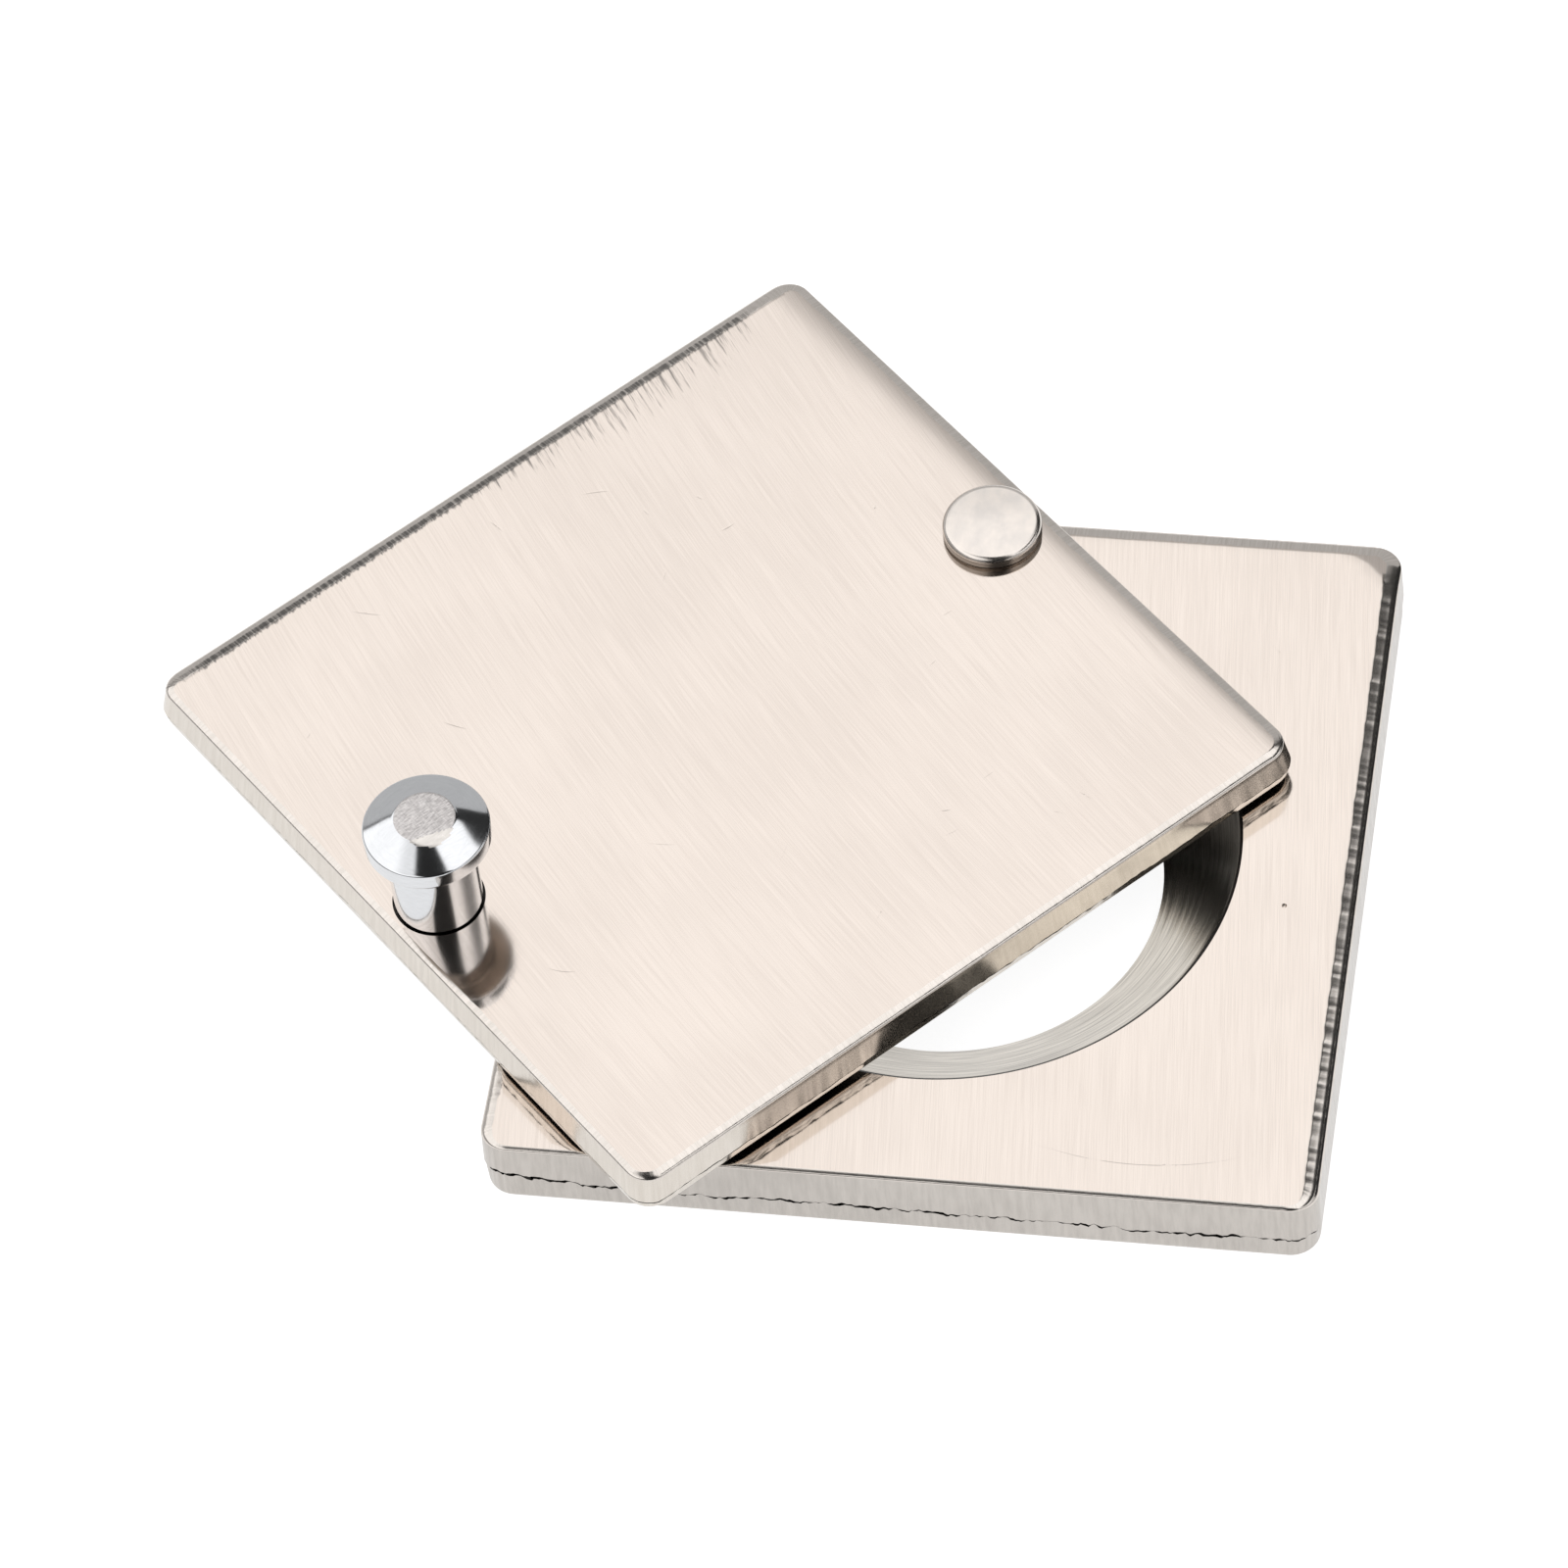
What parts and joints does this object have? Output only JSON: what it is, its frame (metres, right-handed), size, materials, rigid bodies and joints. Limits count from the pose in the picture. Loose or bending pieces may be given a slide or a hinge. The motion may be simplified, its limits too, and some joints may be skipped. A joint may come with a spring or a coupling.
{
  "type": "door viewer cover",
  "caption": "Square swing cover for a door viewer: a cover plate with a pull knob turns on a rivet over a base plate with a conical round opening.",
  "frame": {"origin": "centre of the viewer opening on the back face of the base plate, the face that lies on the door", "axes": "+Z out of the opening, away from the door; +Y from the opening towards the pivot rivet; +X to the right as seen from the front"},
  "size_m": [0.0594, 0.0553, 0.013],
  "materials": {
    "base_metal": "brushed nickel plate",
    "cover_metal": "brushed nickel plate",
    "rivet_metal": "satin nickel plate",
    "washer_nylon": "natural nylon",
    "knob_metal": "polished chrome"
  },
  "bodies": {
    "base": {"base_plate": "base_metal", "pivot_rivet": "rivet_metal", "spacer_washer": "washer_nylon"},
    "cover": {"cover_plate": "cover_metal", "pull_knob": "knob_metal"}
  },
  "joints": [
    {"name": "cover_pivot", "type": "hinge", "parent": "base", "child": "cover", "pos_m": [0, 0.017, 0.0054], "axis": [0, 0, 1], "continuous": true}
  ]
}
